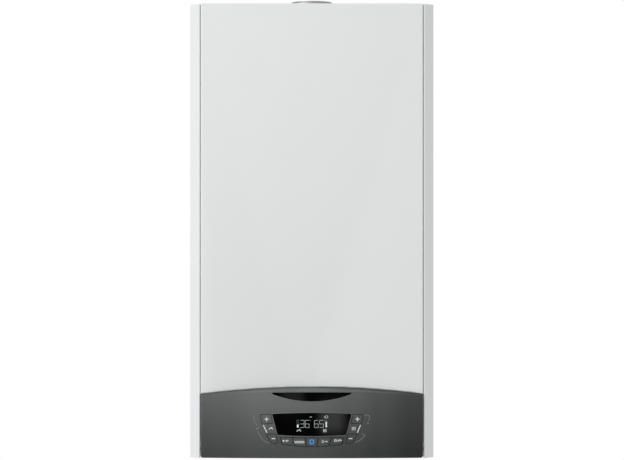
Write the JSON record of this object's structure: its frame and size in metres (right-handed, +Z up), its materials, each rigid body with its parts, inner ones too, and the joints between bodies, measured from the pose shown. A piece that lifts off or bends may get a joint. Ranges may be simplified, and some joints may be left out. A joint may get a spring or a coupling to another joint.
{
  "type": "wall-hung system boiler",
  "caption": "Wall-hung gas boiler: white sheet casing with a lift-off cover over a dark tilting control panel with keys and a display, flue socket on top, pipes below.",
  "frame": {"origin": "on the wall plane, midway between the two wall screws", "axes": "X to the right seen from the room, -Y towards the room, Z up"},
  "size_m": [0.4, 0.3193, 0.7605],
  "materials": {
    "galvanised_steel": "zinc-coated sheet, dull",
    "white_paint": "white baked paint, satin",
    "dark_fascia": "dark grey moulding with a fine metallic satin paint",
    "dark_keys": "dark grey keys, satin, near the fascia's colour",
    "gloss_black": "gloss black lens",
    "black_plastic": "moulded, fine texture",
    "grey_plastic": "moulded, fine texture",
    "pale_plastic": "moulded, fine texture",
    "green_board": "lacquered circuit board",
    "steel": "drawn steel, satin",
    "stainless": "stainless steel, brushed",
    "cast_aluminium": "die-cast, matte",
    "brass": "forged brass, satin",
    "copper": "drawn copper tube",
    "red_paint": "red stove enamel",
    "red_plastic": "moulded red knob",
    "blue_plastic": "moulded blue knob",
    "black_rubber": "moulded rubber",
    "seal_foam": "closed-cell foam strip",
    "clear_dial": "printed dial in a black case",
    "lead_sleeve": "silicone-sleeved lead"
  },
  "bodies": {
    "root": {"wall_bracket": "galvanised_steel", "wall_spacers": "black_rubber", "rear_frame": "galvanised_steel", "left_side_panel": "white_paint", "right_side_panel": "white_paint", "top_panel": "white_paint", "lower_rail": "galvanised_steel", "bottom_plate": "galvanised_steel", "casing_screws": "steel", "air_collar": "cast_aluminium", "sampling_caps": "black_plastic", "air_inlet_cap": "black_plastic", "flue_duct": "stainless", "exchanger_rail": "galvanised_steel", "exchanger_shell": "stainless", "exchanger_coil": "stainless", "burner_tube": "stainless", "burner_door": "cast_aluminium", "fan_housing": "cast_aluminium", "fan_motor": "black_plastic", "venturi": "pale_plastic", "air_silencer": "black_plastic", "gas_valve": "cast_aluminium", "copper_pipes": "copper", "spark_generator": "black_plastic", "wiring": "lead_sleeve", "expansion_vessel": "red_paint", "vessel_hose": "stainless", "pump_housing": "cast_aluminium", "pump_motor": "black_plastic", "return_block": "brass", "flow_block": "brass", "diverter_motor": "pale_plastic", "relief_valve": "brass", "pressure_gauge": "clear_dial", "siphon_trap": "grey_plastic", "condensate_hose": "grey_plastic", "hinge_brackets": "galvanised_steel"},
    "fan_wheel": {"fan_impeller": "black_plastic"},
    "pump_wheel": {"pump_impeller": "stainless"},
    "diverter_rod": {"diverter_spindle": "brass"},
    "relief_cap": {"relief_knob": "red_plastic"},
    "drain_cap": {"drain_knob": "blue_plastic"},
    "needle": {"gauge_needle": "black_plastic"},
    "cover": {"front_cover": "white_paint", "cover_gasket": "seal_foam"},
    "dashboard": {"fascia": "dark_fascia", "badge_insert": "gloss_black", "display_window": "gloss_black", "control_box": "black_plastic", "main_board": "green_board"},
    "hot_water_plus_key": {"hot_water_plus_button": "dark_keys"},
    "hot_water_minus_key": {"hot_water_minus_button": "dark_keys"},
    "heating_plus_key": {"heating_plus_button": "dark_keys"},
    "heating_minus_key": {"heating_minus_button": "dark_keys"},
    "menu_key": {"menu_button": "dark_keys"},
    "comfort_key": {"comfort_button": "dark_keys"},
    "power_key": {"power_button": "dark_keys"},
    "auto_key": {"auto_button": "dark_keys"},
    "reset_key": {"reset_button": "dark_keys"}
  },
  "joints": [
    {"name": "cover_slide", "type": "slide", "parent": "root", "child": "cover", "axis": [0, -1, 0], "range_m": [0, 0.3]},
    {"name": "dashboard_tilt", "type": "hinge", "parent": "root", "child": "dashboard", "pos_m": [0, -0.27, -0.678], "axis": [1, 0, 0], "range_deg": [0, 85]},
    {"name": "fan_spin", "type": "hinge", "parent": "root", "child": "fan_wheel", "pos_m": [0.127, -0.216, -0.22], "axis": [0, 0, 1], "continuous": true},
    {"name": "pump_spin", "type": "hinge", "parent": "root", "child": "pump_wheel", "pos_m": [0.13, -0.12, -0.5], "axis": [0, 1, 0], "continuous": true},
    {"name": "diverter_stroke", "type": "slide", "parent": "root", "child": "diverter_rod", "axis": [0, 0, 1], "range_m": [0, 0.008]},
    {"name": "relief_knob_turn", "type": "hinge", "parent": "root", "child": "relief_cap", "pos_m": [0.097, -0.167, -0.615], "axis": [0, 1, 0], "range_deg": [0, 90]},
    {"name": "drain_knob_turn", "type": "hinge", "parent": "root", "child": "drain_cap", "pos_m": [-0.097, -0.135, -0.672], "axis": [0, 0, 1], "range_deg": [0, 360]},
    {"name": "gauge_needle_swing", "type": "hinge", "parent": "root", "child": "needle", "pos_m": [0.04, -0.18, -0.678], "axis": [0, 0, 1], "range_deg": [-135, 135]},
    {"name": "hot_water_plus_press", "type": "slide", "parent": "dashboard", "child": "hot_water_plus_key", "axis": [0, 1, 0], "range_m": [0, 0.001], "stiffness_N_per_m": 600, "springref_m": -0.0005},
    {"name": "hot_water_minus_press", "type": "slide", "parent": "dashboard", "child": "hot_water_minus_key", "axis": [0, 1, 0], "range_m": [0, 0.001], "stiffness_N_per_m": 600, "springref_m": -0.0005},
    {"name": "heating_plus_press", "type": "slide", "parent": "dashboard", "child": "heating_plus_key", "axis": [0, 1, 0], "range_m": [0, 0.001], "stiffness_N_per_m": 600, "springref_m": -0.0005},
    {"name": "heating_minus_press", "type": "slide", "parent": "dashboard", "child": "heating_minus_key", "axis": [0, 1, 0], "range_m": [0, 0.001], "stiffness_N_per_m": 600, "springref_m": -0.0005},
    {"name": "menu_press", "type": "slide", "parent": "dashboard", "child": "menu_key", "axis": [0, 1, 0], "range_m": [0, 0.001], "stiffness_N_per_m": 600, "springref_m": -0.0005},
    {"name": "comfort_press", "type": "slide", "parent": "dashboard", "child": "comfort_key", "axis": [0, 1, 0], "range_m": [0, 0.001], "stiffness_N_per_m": 600, "springref_m": -0.0005},
    {"name": "power_press", "type": "slide", "parent": "dashboard", "child": "power_key", "axis": [0, 1, 0], "range_m": [0, 0.001], "stiffness_N_per_m": 600, "springref_m": -0.0005},
    {"name": "auto_press", "type": "slide", "parent": "dashboard", "child": "auto_key", "axis": [0, 1, 0], "range_m": [0, 0.001], "stiffness_N_per_m": 600, "springref_m": -0.0005},
    {"name": "reset_press", "type": "slide", "parent": "dashboard", "child": "reset_key", "axis": [0, 1, 0], "range_m": [0, 0.001], "stiffness_N_per_m": 600, "springref_m": -0.0005}
  ]
}
